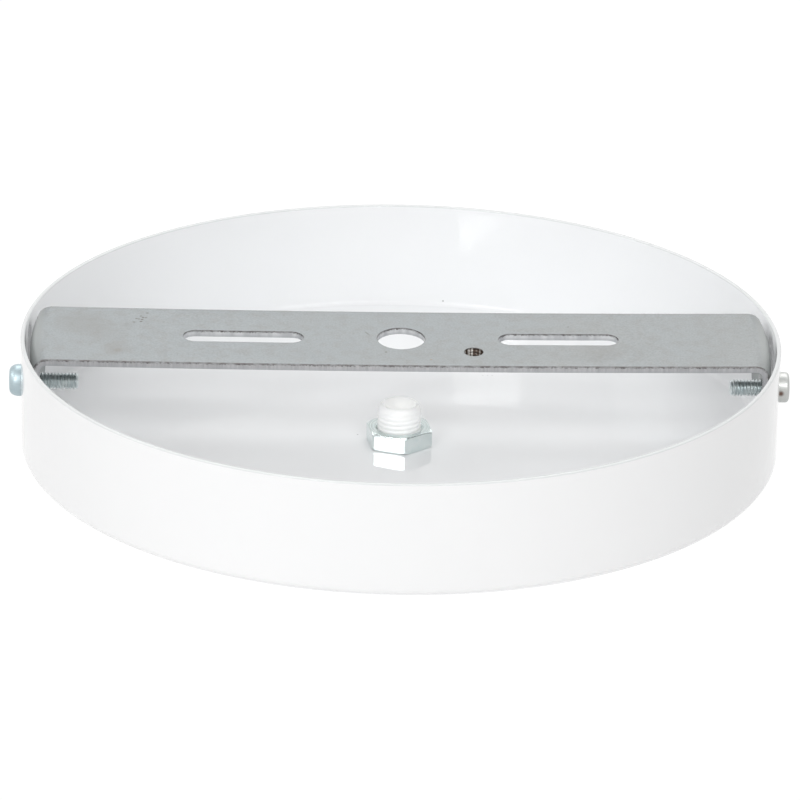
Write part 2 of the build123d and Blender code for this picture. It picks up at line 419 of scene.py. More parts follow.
def on_bar(along, across, inset, depth):
    """Folds the flat strip into the crossbar. along and across are its flat coordinates, inset draws the
    outline in and depth goes down from the top face. The web lies flat up to web_end; the bend turns about a
    level axis, radius = web_end + (bend - depth) sin f, level = -bend + (bend - depth) cos f; the tab runs
    straight down. Radii count from the middle of the bar, so that the tabs follow the round wall: x^2 =
    radius^2 - y^2."""
    along, across, inset, depth = np.broadcast_arrays(along, across, inset, depth)
    side, reach = np.sign(along), np.abs(along)
    half = bar_half_width - inset
    margin = np.abs(across) - keep_across
    spread = (half - keep_across) / (bar_half_width - keep_across)
    y = np.sign(across) * np.where(margin > 0, keep_across + margin * spread, np.abs(across))
    flat_end = np.sqrt(web_end ** 2 - y ** 2)
    stretch = (flat_end - keep_along) / (web_end - keep_along)
    flat_x = np.where(reach > keep_along, keep_along + (reach - keep_along) * stretch, reach)
    turn = np.clip((reach - web_end) / bend_span, 0.0, 1.0) * np.pi / 2
    folded = web_end + (bend_radius - depth) * np.sin(turn)
    down = np.clip(reach - tab_start, 0.0, None)
    corner = tab_corner_radius - inset
    past_corner = np.clip(np.abs(y) - (half - corner), 0.0, corner)
    rounded = corner - np.sqrt(np.clip(corner ** 2 - past_corner ** 2, 0.0, None))
    foot = tab_span - inset - rounded
    kept = np.where(past_corner > 0, keep_down_at_corners, keep_down)
    squeezed = kept + (down - kept) * (foot - kept) / (tab_span - kept)
    down = np.where(down > kept, squeezed, down)
    x = np.where(reach > web_end, np.sqrt(folded ** 2 - y ** 2), flat_x)
    level = np.where(reach > web_end, -bend_radius + (bend_radius - depth) * np.cos(turn), -depth)
    lift = bar_bow * (x / tab_radius) ** 2 * (1 - smooth_step(down, 0.0, bow_fade))
    return np.stack([side * x, y, level - down + lift], -1)


def bar_lines(*stops, cell=0.00075):
    """Grid lines through every stop, about a cell apart."""
    pieces = [
        np.linspace(start, end, max(2, round((end - start) / cell) + 1))[:-1]
        for start, end in zip(stops[:-1], stops[1:])
    ]
    return np.concatenate(pieces + [[stops[-1]]])


def make_crossbar(material):
    """The strip's two faces as grids with a block left out at each hole, each block filled up to its hole,
    over the hole's rolled edge and down its wall, and one band round the strip's outline, all folded by
    on_bar. The earth hole is drawn down into a collar below the strip. strip_depth counts negative at the
    holes."""
    slot_block = slot_half_core + slot_radius + slot_margin
    tab_hole = tab_start + (-screw_line[2] - bend_radius)
    right_slot = slot_place - slot_block
    tab_stops = (tab_hole - tab_block, tab_hole + tab_block)
    along = bar_lines(
        -bar_end, -tab_stops[1], -tab_stops[0], -tab_start, -web_end, -(slot_place + slot_block), -right_slot,
        -centre_block, centre_block, earth_block_start, right_slot, slot_place + slot_block,
        web_end, tab_start, *tab_stops, bar_end,
    )
    across = np.linspace(-bar_half_width, bar_half_width, 37)

    def block(low, high, bottom=-bar_half_width, top=bar_half_width):
        near = 1e-7
        cells = (along[:-1] > low - near) & (along[1:] < high + near)
        rows = (across[:-1] > bottom - near) & (across[1:] < top + near)
        lines_along = along[(along > low - near) & (along < high + near)]
        lines_across = across[(across > bottom - near) & (across < top + near)]
        return cells[:, None] & rows[None, :], block_border(lines_along, lines_across)

    holes = [
        *(
            (block(place - slot_block, place + slot_block), (place, 0), slot_half_core, slot_radius, 0)
            for place in (-slot_place, slot_place)
        ),
        (block(-centre_block, centre_block), (0, 0), 0.0, centre_hole_radius, 0),
        (
            block(earth_block_start, right_slot, top=0.0), earth_hole_place, 0.0, earth_hole_radius,
            earth_thread_depth,
        ),
    ]
    for side in (-1, 1):
        low, high = sorted((side * tab_stops[0], side * tab_stops[1]))
        cut = block(low, high, -tab_block_half_width, tab_block_half_width)
        holes.append((cut, (side * tab_hole, 0), 0.0, tab_hole_radius, 0))

    open_cells = np.any([cells for (cells, _), *_ in holes], axis=0)
    quads = grid_faces(len(along), len(across), open_cells=open_cells)
    mesh_along, mesh_across = np.meshgrid(along, across, indexing="ij")
    surfaces = [
        (on_bar(mesh_along, mesh_across, rolled_edge, 0.0), quads),
        (on_bar(mesh_along, mesh_across, burr_edge, bar_thickness), quads),
    ]

    roll = np.radians(np.linspace(0, 90, 7))
    edge_insets = np.concatenate([rolled_edge * (1 - np.sin(roll)), [0.0, 0.0, 0.0, burr_edge]])
    edge_depths = np.concatenate([
        rolled_edge * (1 - np.cos(roll)),
        [0.35 * bar_thickness, 0.65 * bar_thickness, bar_thickness - burr_edge, bar_thickness],
    ])
    border = block_border(along, across)
    surfaces.append(band(
        on_bar(border[None, :, 0], border[None, :, 1], edge_insets[:, None], edge_depths[:, None])
    ))
    strip_depths = [np.zeros(mesh_along.size), np.full(mesh_along.size, bar_thickness),
                    np.repeat(edge_depths, len(border))]

    face_shares = (1, 0.75, 0.5, 0.3, 0.15, 0.06, 0.02)
    for (_, border), centre, half_core, radius, thread in holes:
        def hole_row(widening, share=0):
            return around_hole(border, centre, half_core, radius + widening, [share])[0]

        foot = earth_collar_depth if thread else bar_thickness
        skirt = earth_collar_wall if thread else burr_edge
        rows = [(hole_row(hole_edge, share), rolled_edge, 0.0) for share in face_shares]
        rows += [
            (hole_row(hole_edge * (1 - np.sin(turn))), rolled_edge, hole_edge * (1 - np.cos(turn)))
            for turn in roll
        ]
        for depth in np.linspace(hole_edge, foot - burr_edge, (36 if thread else 3) + 2)[1:-1]:
            wall = hole_row(0.0)
            if thread:
                spoke = wall - centre
                angle = np.arctan2(spoke[:, 1], spoke[:, 0]) / (2 * np.pi)
                groove = np.abs(2 * ((depth / earth_thread_pitch + angle) % 1.0) - 1)
                wall = centre + spoke * (1 + thread * groove[:, None] / radius)
            rows.append((wall, burr_edge, depth))
        rows += [
            (hole_row(widening), burr_edge, depth)
            for widening, depth in ((0.0, foot - burr_edge), (burr_edge, foot), (skirt, foot))
        ]
        rows += [(hole_row(skirt, share), burr_edge, bar_thickness) for share in face_shares[::-1]]
        points, insets, depths = (np.array(part) for part in zip(*rows))
        surfaces.append(band(on_bar(points[..., 0], points[..., 1], insets[:, None], depths[:, None])))
        strip_depths.append(-np.repeat(depths, len(border)))
    return make_piece("crossbar_strip", surfaces, material, "crossbar", ["crossbar"],
                      depths=np.concatenate(strip_depths))


# Screws

def ridge(turns, flat=0.05):
    """A thread's section over one turn: 0 at the root, rising and falling in straight flanks to a flat crest
    at 1."""
    rise = 1 - np.abs(2 * (turns % 1.0) - 1)
    return np.clip((rise - flat) / (1 - 2 * flat), 0.0, 1.0)


def screw_surfaces(place, thread_radius, thread_pitch, length, head_shape, recess):
    """A screw drawn along z, its head's seat at z = 0: thread P(a, z) = (r cos a, r sin a, z) with r = root
    + depth ridge(z / pitch - a / turn), a coned tip, and a head whose top is sunk by recess(x, y)."""
    angle = np.linspace(0, 2 * np.pi, 96, endpoint=False)
    depth = thread_depth_share * thread_pitch
    levels = np.arange(-length, -0.0001, thread_pitch / 20)[:, None]
    spiral = ridge(levels / thread_pitch - angle / (2 * np.pi))
    fade = smooth_step(-levels, 0.0001, 0.0006)
    tip_radius = thread_radius - depth * tip_depth_share
    radius = np.minimum(thread_radius - depth + depth * spiral * fade, tip_radius + (levels + length))
    end = turned(np.linspace(0, 1, 6)[:-1, None] * tip_radius, angle, -length)

    head_radius, head_height = head_shape["radius"], head_shape["height"]
    rounds = (head_shape["round_across"], head_shape["round_along"])
    side = outline(
        line((thread_radius - depth, 0), (head_radius - seat_round, 0), 5),
        arc((head_radius - seat_round, seat_round), seat_round, -90, 0, 4),
        line((head_radius, seat_round), (head_radius, head_height - rounds[1]), 4),
        arc((head_radius - rounds[0], head_height - rounds[1]), rounds, 0, 82, 16),
    )
    edge_radius, edge_level = side[-1]
    dome = np.linspace(1, 0, 46)[1:]
    top = np.stack([edge_radius * dome, edge_level + (head_height - edge_level) * (1 - dome ** 2)], 1)
    profile = np.vstack([side, top])
    head = turned(profile[:, :1], angle, profile[:, 1:])
    on_top = (np.arange(len(profile)) >= len(side) - 3)[:, None]
    head[..., 2] -= np.where(on_top, recess(head[..., 0], head[..., 1]), 0.0)
    shank = np.vstack([end, turned(radius, angle, levels), head[:1]])
    return [band(place(*np.moveaxis(part, -1, 0))) for part in (shank, head)]


def cross_recess(x, y):
    """Depth of a cross recess: full inside either arm, its walls sloping over a small width."""
    depth, half_length, half_width, slope = 0.0014, 0.0019, 0.00045, 0.00022
    arms = [
        (1 - smooth_step(np.abs(u), half_length - slope, half_length + slope))
        * (1 - smooth_step(np.abs(v), half_width - slope / 2, half_width + slope / 2))
        for u, v in ((x, y), (y, x))
    ]
    return depth * np.maximum(*arms)


def slot_recess(x, y):
    """Depth of a screwdriver slot right across the head, along x."""
    return clamp_slot_depth * (1 - smooth_step(np.abs(y), *clamp_slot_walls))


def make_side_screw(side, length, material):
    """A pan head screw that points out of the wall at one side, x = side (radius + gap + z), its seat
    pressed to the round wall by the wall's own rise, radius - sqrt(radius^2 - y^2)."""
    def place(x, y, z):
        on_head = z > -1e-9
        rise = canopy_radius - np.sqrt(canopy_radius ** 2 - x ** 2)
        hug = rise * (1 - np.clip(z / hug_height, 0, 1))
        out = canopy_radius + head_gap + z - hug * on_head
        lift = np.where(on_head, head_lifts[side], 0.0)
        return screw_line + np.stack([side * out, side * x, y + lift], -1)

    name = "left" if side < 0 else "right"
    surfaces = screw_surfaces(place, screw_thread_radius, screw_thread_pitch, length + head_gap,
                              left_head if side < 0 else right_head, cross_recess)
    return make_piece(f"pan_head_screw_{name}", surfaces, material, f"{name}_screw",
                      [f"side_screw_{name}"], sharp=50.0)


def make_clamp_screw(material):
    """The grip's slotted screw, pointing forward out of the grip's flat."""
    low, high = canopy_extent("cord_grip_screw")
    seat = -low[1] - clamp_head["height"]

    def place(x, y, z):
        return on_canopy(np.stack([x, -(seat + z), clamp_level + y], -1))

    surfaces = screw_surfaces(
        place, clamp_thread_radius, clamp_thread_pitch, seat + high[1], clamp_head, slot_recess,
    )
    return make_piece("clamp_screw_slotted", surfaces, material, "clamp_screw",
                      ["cord_grip_screw"], sharp=50.0)


# Cord grip

def lead_in(thread_top, tube_top):
    """The tube's domed end as (radius, level): r = mouth + (tube - mouth) cos^1.1 t, level = foot + height
    sin t."""
    turn = np.linspace(0, np.pi / 2, 14)
    mouth = cord_bore_radius + bore_edge_round
    dome = mouth + (tube_thread_radius - mouth) * np.cos(turn) ** 1.1
    return np.stack([dome, thread_top + (tube_top - thread_top) * np.sin(turn)], 1)


def make_cord_grip(material):
    """The grip's section turned about the canopy's axis, with the tube's worn thread as a soft helix in its
    radius, r = crest - depth (1 + cos(2 pi z / pitch - a)) / 2, the flat as y >= -flat on the body, and the
    clamp screw's hole through the flat into the bore."""
    columns = 144
    hole_cells = 15
    tube_top = grip_high[2] + tube_rise
    foot = grip_low[2]
    thread_top = tube_top - tube_lead
    bore, bore_edge = cord_bore_radius, cord_bore_radius + bore_edge_round
    body, collar_level = grip_body_radius, seat_under - grip_collar
    collar_edge = body - grip_collar_round
    block = (clamp_level - clamp_block, clamp_level + clamp_block)
    angle = np.linspace(0, 2 * np.pi, columns, endpoint=False)

    body_levels = levels_through(
        (foot + grip_foot_round, block[0], 5), (*block, clamp_block_lines),
        (block[1], collar_level - 1e-5, 4),
    )
    bore_levels = levels_through(
        (tube_top - bore_edge_round, block[1], 16), (*block[::-1], clamp_block_lines),
        (block[0], foot + bore_edge_round, 5),
    )
    profile = outline(
        arc((bore_edge, foot + bore_edge_round), bore_edge_round, 180, 270, 5),
        line((bore_edge, foot), (body - grip_foot_round, foot), 5),
        arc((body - grip_foot_round, foot + grip_foot_round), grip_foot_round, -90, 0, 9),
        upright(body, body_levels),
        line((body, collar_level), (body, seat_under - grip_collar_round), 4),
        arc((collar_edge, seat_under - grip_collar_round), grip_collar_round, 0, 90, 5),
        line((collar_edge, seat_under), (tube_thread_radius, seat_under), 4),
        upright(tube_thread_radius, np.arange(seat_under, thread_top, tube_thread_pitch / 14)),
        lead_in(thread_top, tube_top),
        arc((bore_edge, tube_top - bore_edge_round), bore_edge_round, 90, 180, 7),
        upright(bore, bore_levels),
    )
    radius, level = profile[:, :1], profile[:, 1:]
    spiral = 0.5 - 0.5 * np.cos(2 * np.pi * level / tube_thread_pitch - angle[None, :])
    threaded = (radius > grip_wall_start) & (level > seat_under + 0.0001)
    fade = np.where(threaded, 1 - smooth_step(level, thread_top + 0.0004, tube_top - 0.0002), 0.0)
    grid_radius = radius - fade * tube_thread_depth * (1 - spiral)
    y = -grid_radius * np.cos(angle)
    on_body = (level < collar_level - 5e-6) & (radius > grip_wall_start)
    y = np.where(on_body, np.maximum(y, -grip_flat), y)
    grid = np.stack([grid_radius * np.sin(angle), y, np.repeat(level, columns, 1)], -1)

    in_block = np.abs(level - clamp_level) < clamp_block + 1e-7
    rows = in_block & np.roll(in_block, -1) & (np.abs(radius - np.roll(radius, -1)) < 1e-7)
    front = (np.arange(columns) + hole_cells) % columns < 2 * hole_cells
    surfaces = [ring(on_canopy(grid), rows & front)]

    border = block_border((np.arange(-hole_cells, hole_cells + 1)) * 2 * np.pi / columns,
                          np.linspace(*block, clamp_block_lines))
    depth, across, height = hole_in_wall(
        border, clamp_level, clamp_hole_radius,
        ((body, (1, 0.7, 0.45, 0.2, 0)), (bore, (0, 0.5, 1))), grip_flat,
    )
    surfaces.append(band(on_canopy(np.stack([across, -depth, height], -1))))
    return make_piece(
        "threaded_cord_grip", surfaces, material, "canopy", ["cord_grip"], sharp=40.0,
    )


# Hexagon nut

def make_nut(material):
    """A hexagon r(a) = flat / cos(a - nearest flat), cut by a cone above and below, z = top - tan(chamfer)
    (r - face), with rounded edges, (r - round + round sin t, z - round (1 - cos t)), and a chamfered
    bore."""
    angle = np.linspace(0, 2 * np.pi, 720, endpoint=False)
    from_flat = (angle - nut_turn) % (np.pi / 3) - np.pi / 6
    edge = nut_flat_radius / np.cos(from_flat)
    sharp_corner = nut_flat_radius / cos(radians(30))
    edge = edge - nut_corner_wear * np.exp(-((edge - sharp_corner) / nut_corner_spread) ** 2 / 2)
    bottom, top = seat_top, nut_high[2]
    bore_mouth = nut_bore_radius + nut_bore_chamfer

    def face_level(radius, base, slope):
        return base - np.tan(slope) * np.clip(radius - nut_face_radius, 0.0, None)

    reach = edge - nut_edge_round
    face = np.minimum(nut_face_radius, reach)
    faces = [bore_mouth + (face - bore_mouth) * share for share in np.linspace(0, 1, 8)]
    faces += [face + (reach - face) * share for share in np.linspace(0, 1, 8)[1:]]
    high = face_level(reach, top, nut_top_chamfer)
    low = face_level(reach, bottom, -nut_bottom_chamfer)
    turns = np.radians(np.linspace(10, 80, 8))
    rows = [(radius, face_level(radius, top, nut_top_chamfer)) for radius in faces]
    rows += [
        (edge - nut_edge_round * (1 - sin(turn)), high - nut_edge_round * (1 - cos(turn)))
        for turn in turns
    ]
    for share in np.linspace(0, 1, 14):
        rows.append((edge, (high - nut_edge_round) * (1 - share) + (low + nut_edge_round) * share))
    rows += [
        (edge - nut_edge_round * (1 - sin(turn)), low + nut_edge_round * (1 - cos(turn)))
        for turn in turns[::-1]
    ]
    rows += [(radius, face_level(radius, bottom, -nut_bottom_chamfer)) for radius in faces[::-1]]
    for level in (bottom + nut_bore_chamfer, (bottom + top) / 2, top - nut_bore_chamfer):
        rows.append((nut_bore_radius, level))
    radius, level = (np.stack([np.broadcast_to(row[part], len(angle)) for row in rows]) for part in (0, 1))
    surfaces = [ring(on_canopy(turned(radius, angle, level)))]
    return make_piece("hexagon_nut", surfaces, material, "canopy", ["hex_nut"], sharp=24.0)


# Materials

class Net:
    """A node tree being wired. Each method adds nodes and returns the output that goes on; wherever a value
    is asked for, an output or a fixed number, vector or colour will do."""

    def __init__(self, tree):
        self.nodes, self.links = tree.nodes, tree.links

    def node(self, kind, **settings):
        """A new shader node with plain settings, such as its operation."""
        node = self.nodes.new("ShaderNode" + kind)
        for name, value in settings.items():
            setattr(node, name, value)
        return node

    def feed(self, socket, value):
        """Links an output to a socket, or sets the socket to a fixed value."""
        if isinstance(value, bpy.types.NodeSocket):
            self.links.new(value, socket)
        elif socket.type == "RGBA":
            socket.default_value = (*value, 1.0)
        else:
            socket.default_value = value

    def fill(self, node, values):
        """Feeds several sockets of a node, named or numbered, and returns its outputs."""
        for name, value in values.items():
            self.feed(node.inputs[name], value)
        return node.outputs

    def math(self, operation, *values, clamp=False):
        """One arithmetic step."""
        node = self.node("Math", operation=operation, use_clamp=clamp)
        return self.fill(node, dict(enumerate(values)))[0]

    def times(self, first, second, clamp=False):
        return self.math("MULTIPLY", first, second, clamp=clamp)

    def above(self, value, limit):
        """1 where the value is above the limit, else 0."""
        return self.math("GREATER_THAN", value, limit)

    def below(self, value, limit):
        """1 where the value is below the limit, else 0."""
        return self.math("LESS_THAN", value, limit)

    def vector(self, operation, *values):
        """One step on vectors, whose result is a number for a distance, a dot product and a length."""
        outputs = self.fill(self.node("VectorMath", operation=operation), dict(enumerate(values)))
        return outputs["Value" if operation in ("DISTANCE", "DOT_PRODUCT", "LENGTH") else "Vector"]

    def place(self, scale=(1, 1, 1)):
        """Object coordinates in metres, stretched."""
        here = self.node("TexCoord").outputs["Object"]
        return self.fill(self.node("Mapping"), {"Vector": here, "Scale": scale})["Vector"]

    def noise(self, vector, per_metre, detail, roughness=0.55):
        """Value noise with that many features to the metre."""
        values = {"Vector": vector, "Scale": per_metre, "Detail": detail, "Roughness": roughness}
        return self.fill(self.node("TexNoise"), values)["Fac"]

    def ramp(self, value, *stops):
        """A colour for each value: stops are (value, colour)."""
        node = self.node("ValToRGB")
        elements = node.color_ramp.elements
        while len(elements) < len(stops):
            elements.new(0.5)
        for element, (position, colour) in zip(elements, stops):
            element.position = position
            element.color = (*colour, 1.0)
        return self.fill(node, {"Fac": value})["Color"]

    def fade(self, value, low, high, start=0.0, end=1.0):
        """A grey level that goes from start, up to the value low, to end, from the value high on."""
        return self.ramp(value, (low, (start,) * 3), (high, (end,) * 3))

    def mix(self, share, first, second, blend="MIX"):
        """Mixes two colours."""
        node = self.node("Mix", data_type="RGBA", blend_type=blend)
        return self.fill(node, {0: share, 6: first, 7: second})[2]

    def bump(self, *heights):
        """Stacked bump maps: heights are (height, distance in metres, strength)."""
        normal = {}
        for height, distance, strength in heights:
            values = {"Height": height, "Distance": distance, "Strength": strength, **normal}
            normal = {"Normal": self.fill(self.node("Bump"), values)["Normal"]}
        return normal["Normal"]

    def specks(self, place, per_metre, size, rarity):
        """1 on small specks, else 0: the middles of Voronoi cells whose tone is above the rarity."""
        cells = self.fill(self.node("TexVoronoi"), {"Vector": place, "Scale": per_metre})
        tone = self.fill(self.node("SeparateColor"), {0: cells["Color"]})[0]
        return self.times(self.below(cells["Distance"], size), self.above(tone, rarity))

    def mark(self, colour, place, centre, radius, strength, tint):
        """Lays one small mark on a colour, a stain or a patch of painted shade: full up to a third of its radius,
        in millimetres, and gone at its edge."""
        share = self.math("MULTIPLY_ADD", self.vector("DISTANCE", place, centre), -1500 / radius, 1.5)
        return self.mix(self.times(self.math("MINIMUM", share, 1.0), strength, clamp=True), colour, tint)

    def axis_place(self, place):
        """Distance from the canopy's axis and height above the side screws' line, both in metres."""
        offset = self.vector("SUBTRACT", place, screw_line)
        away = self.vector("LENGTH", self.vector("CROSS_PRODUCT", offset, canopy_up))
        return away, self.vector("DOT_PRODUCT", offset, canopy_up)

    def seen_plainly(self):
        """1 for rays from the camera and for those mirrored or passed on by the object, 0 for its light."""
        seen = self.node("LightPath").outputs
        plain = self.math("MAXIMUM", seen["Is Camera Ray"], seen["Is Glossy Ray"])
        return self.math("MAXIMUM", plain, seen["Is Transmission Ray"])


class Surface(Net):
    """A new material's node tree, ending in one surface shader."""

    def __init__(self, name):
        self.material = bpy.data.materials.new(name)
        self.material.use_nodes = True
        super().__init__(self.material.node_tree)
        self.nodes.clear()
        self.end = self.node("OutputMaterial").inputs["Surface"]
        self.shader = self.node("BsdfPrincipled")
        self.feed(self.end, self.shader.outputs["BSDF"])

    def finish(self, *bumps, **values):
        """Feeds the shader's sockets, named with underscores for blanks, stacks the bump maps and gives the
        material."""
        self.fill(self.shader, {name.replace("_", " "): value for name, value in values.items()})
        if bumps:
            self.fill(self.shader, {"Normal": self.bump(*bumps)})
        return self.material


strip_tone = np.array((0.283, 0.302, 0.308))

# Small marks: place in millimetres (canopy directions for the paint, the bar's own for the strip), radius in
# millimetres, strength and, but for the gap spots and the dirt, tint. The gap spots are painted shade: they
# darken the inside of the wall next to the tabs.
dirt = (0.10, 0.085, 0.07)
paint_spots = [
    (11.95, 83.15, -12.08, 0.26, 0.75, (0.25, 0.25, 0.24)),
    (-9.3, 4.35, -14.15, 0.24, 0.75, (0.22, 0.22, 0.22)),
    (20.2, 40.3, -13.95, 0.30, 0.35, (0.45, 0.45, 0.45)),
    (21.3, 40.3, -13.94, 0.30, 0.35, (0.45, 0.45, 0.45)),
    (22.4, 40.3, -13.93, 0.30, 0.35, (0.45, 0.45, 0.45)),
]
painted_gap_shade = (0.012, 0.016, 0.020)
painted_gap_shade_spots = [
    (83.7, 6.6, 7.3, 3.8, 0.94), (83.9, 3.0, 5.4, 3.8, 0.97),
    (-83.5, 9.0, 8.2, 3.2, 0.90), (-83.5, 8.4, 4.4, 3.8, 0.97),
]
strip_clouds = [
    (-71.5, 5.5, 0.45, 7.5, 0.34, (0.232, 0.226, 0.214)), (-66.5, 0.5, 0.4, 6.0, 0.20, (0.232, 0.226, 0.214)),
    (-63.5, -7.0, 0.35, 4.0, 0.35, (0.232, 0.222, 0.207)),
    (44.5, -5.5, 0.1, 7.0, 0.22, (0.232, 0.222, 0.207)),
    (-63.0, -8.0, 0.3, 1.30, 0.16, (0.16, 0.11, 0.07)), (6.55, -10.5, 0.0, 0.34, 0.45, (0.30, 0.15, 0.06)),
    (79.8, -13.4, -0.6, 0.50, 0.60, (0.12, 0.08, 0.06)),
]
strip_dirt = [
    (-56.97, 10.96, 0.29, 0.45, 0.50), (-58.39, 9.35, 0.31, 0.36, 0.65), (-57.92, 8.61, 0.3, 0.42, 0.75),
    (-57.24, 8.64, 0.3, 0.36, 0.60), (-59.36, 8.03, 0.3, 0.40, 0.60), (-58.79, 7.8, 0.3, 0.36, 0.65),
    (-58.11, 7.58, 0.3, 0.42, 0.75), (-58.31, 6.55, 0.3, 0.44, 0.75), (-59.87, 6.22, 0.3, 0.45, 0.55),
    (-61.2, 4.6, 0.3, 1.60, 0.07), (-52.3, -9.6, 0.2, 0.20, 0.45), (-51.0, -9.6, 0.2, 0.18, 0.40),
    (-49.8, -9.5, 0.2, 0.20, 0.45), (-48.6, -9.4, 0.2, 0.18, 0.40), (-47.3, -9.4, 0.2, 0.20, 0.45),
    (-46.0, -9.3, 0.2, 0.18, 0.40), (-44.8, -9.3, 0.2, 0.18, 0.40), (-3.46, -6.94, 0.0, 0.32, 0.85),
    (37.7, 6.4, 0.1, 0.30, 0.60), (-7.86, 2.92, 0.0, 0.24, 0.70), (-7.62, 2.47, 0.0, 0.26, 0.75),
    (-7.38, 2.02, 0.0, 0.26, 0.75), (-7.13, 1.55, 0.0, 0.24, 0.60),
]
head_stain = (85.47, -3.42, -11.19, 0.85, 0.9, (0.12, 0.06, 0.04))
head_tones = ((-1, (0.60, 0.68, 0.72)), (1, (0.70, 0.67, 0.65)))


def millimetres(spot):
    """A small mark's place in metres."""
    return np.array(spot[:3]) / 1000


def white_paint():
    """Gloss white enamel: a cool tone inside the cup and a darker neutral one outside, the outside's darkness
    being painted shade, and a duller rim edge, with orange peel in two sizes, slow tone drift, a few specks of
    dust under the coat and painted shade on the inside of the wall next to the tabs."""
    net = Surface("gloss_white_enamel")
    place = net.place()
    away, height = net.axis_place(place)
    drift = net.noise(place, 22, 2)
    inner = net.ramp(drift, (0.3, (0.922, 0.932, 0.941)), (0.7, (0.932, 0.940, 0.948)))
    # The outside's darker tone is painted shade on the outer wall
    outer = net.ramp(drift, (0.3, (0.897, 0.899, 0.902)), (0.7, (0.907, 0.908, 0.910)))
    colour = net.mix(net.above(away, wall_middle_radius), inner, outer)
    rim = net.above(height, rim_level - rim_round)
    colour = net.mix(net.times(rim, 0.9), colour, (0.765, 0.78, 0.78))
    colour = net.mix(net.specks(place, 95, 0.016, 0.965), colour, (0.62, 0.61, 0.59))
    for spot in paint_spots:
        colour = net.mark(colour, place, on_canopy(millimetres(spot)), *spot[3:])
    within = net.below(away, wall_middle_radius)
    # Painted shade on the inside of the wall next to the tabs, kept off the outside
    for *spot, radius, strength in painted_gap_shade_spots:
        strength = net.times(within, strength)
        colour = net.mark(colour, place, on_canopy(millimetres(spot)), radius, strength, painted_gap_shade)
    return net.finish(
        (net.noise(place, 120, 2), 0.00003, 0.5), (net.noise(place, 700, 2), 0.000006, 0.5),
        Base_Color=colour, Roughness=net.fade(net.noise(place, 160, 3), 0.3, 0.7, 0.03, 0.05), IOR=1.5,
    )


def zinc_strip():
    """Zinc-plated mill steel: soft bluish and brownish clouds, fine grain and small stains on its faces; bends
    painted paler, a painted light; a paler sheared edge and hole walls with streaks down them; a dark, broken
    line where the shear entered and along the far edge, a painted dark reflection of the rolled edges; a brown
    earth hole thread."""
    net = Surface("mottled_zinc_strip")
    place = net.place()
    parts = net.fill(net.node("SeparateXYZ"), {0: place})
    cloud = net.noise(place, 62, 5, 0.6)
    base = net.ramp(cloud, (0.30, strip_tone * 0.91), (0.50, strip_tone), (0.70, strip_tone * 1.06))
    warm = net.math("MULTIPLY_ADD", parts["X"], 3.0, net.noise(place, 38, 3))
    base = net.mix(net.times(net.fade(warm, 0.45, 0.75), 0.6), base, (0.276, 0.286, 0.284))
    mottle = net.fade(net.noise(place, 330, 5, 0.65), 0.46, 0.64, 0.0, 0.42)
    base = net.mix(mottle, base, (0.248, 0.248, 0.240))
    grain = net.noise(place, 2300, 3)
    base = net.mix(0.08, base, net.fade(grain, 0.32, 0.68, 0.02, 0.56))
    base = net.mix(net.specks(place, 150, 0.026, 0.95), base, (0.15, 0.12, 0.10))
    for spot in strip_clouds + [(*spot, dirt) for spot in strip_dirt]:
        base = net.mark(base, place, millimetres(spot), *spot[3:])

    # Painted light: the bends are painted paler where they would render darker than the web
    bend = net.fade(net.times(net.math("ABSOLUTE", parts["X"]), 10.0), 0.796, 0.82)
    base = net.mix(bend, base, (0.435, 0.452, 0.447))

    depth = net.node("Attribute", attribute_name="strip_depth").outputs["Fac"]
    below = net.times(depth, 1 / bar_thickness)
    in_hole = net.below(below, -0.001)
    below = net.math("ABSOLUTE", below)
    streaks = net.noise(net.place((1600, 1600, 120)), 1.0, 3, 0.6)
    outer = net.ramp(streaks, (0.3, (0.440, 0.438, 0.448)), (0.7, (0.600, 0.594, 0.602)))
    bands = net.noise(net.place((520, 520, 20)), 1.0, 2, 0.5)
    inner = net.ramp(bands, (0.38, (0.585, 0.590, 0.605)), (0.62, (0.740, 0.745, 0.755)))
    low_edge = net.times(net.fade(below, 0.55, 0.8), 0.45)
    sheared = net.mix(low_edge, net.mix(in_hole, outer, inner), (0.46, 0.47, 0.49))
    side = net.times(net.fade(below, 0.09, 0.17), net.fade(below, 0.96, 0.985, 1.0, 0.0))
    base = net.mix(side, base, sheared)

    # Painted reflection: a dark, broken line where the shear entered the edges and the holes
    painted_rollover_reflection = net.math("MULTIPLY_ADD", net.noise(place, 2400, 4, 0.75), 0.9, -0.16)
    painted_rollover_reflection = net.fade(net.math("SUBTRACT", painted_rollover_reflection, below), 0.0, 0.06)
    painted_rollover_reflection = net.times(painted_rollover_reflection, net.fade(below, 0.003, 0.03))
    blotch = net.fade(net.noise(place, 760, 3, 0.7), 0.36, 0.60, 0.25, 0.92)
    base = net.mix(net.times(painted_rollover_reflection, blotch), base, (0.135, 0.124, 0.122))
    # Painted reflection: a dark line along the top face's far edge
    painted_far_edge_reflection = net.above(parts["Y"], bar_half_width - 0.0003)
    base = net.mix(net.times(painted_far_edge_reflection, blotch), base, (0.16, 0.155, 0.15))

    away = net.vector("DISTANCE", place, (*earth_hole_place, -earth_collar_depth / 2))
    thread = net.times(net.below(away, earth_hole_radius + 0.0009), net.fade(below, 0.06, 0.12))
    stripes = net.noise(net.place((1500, 600, 15)), 1.0, 2, 0.5)
    rust = net.ramp(stripes, (0.47, (0.085, 0.062, 0.05)), (0.60, (0.50, 0.485, 0.46)))
    base = net.mix(net.times(thread, in_hole), base, rust)
    return net.finish(
        (grain, 0.000008, 0.4), (cloud, 0.00003, 0.2),
        Base_Color=base, Metallic=1.0, Roughness=net.fade(cloud, 0.3, 0.7, 0.48, 0.56),
    )


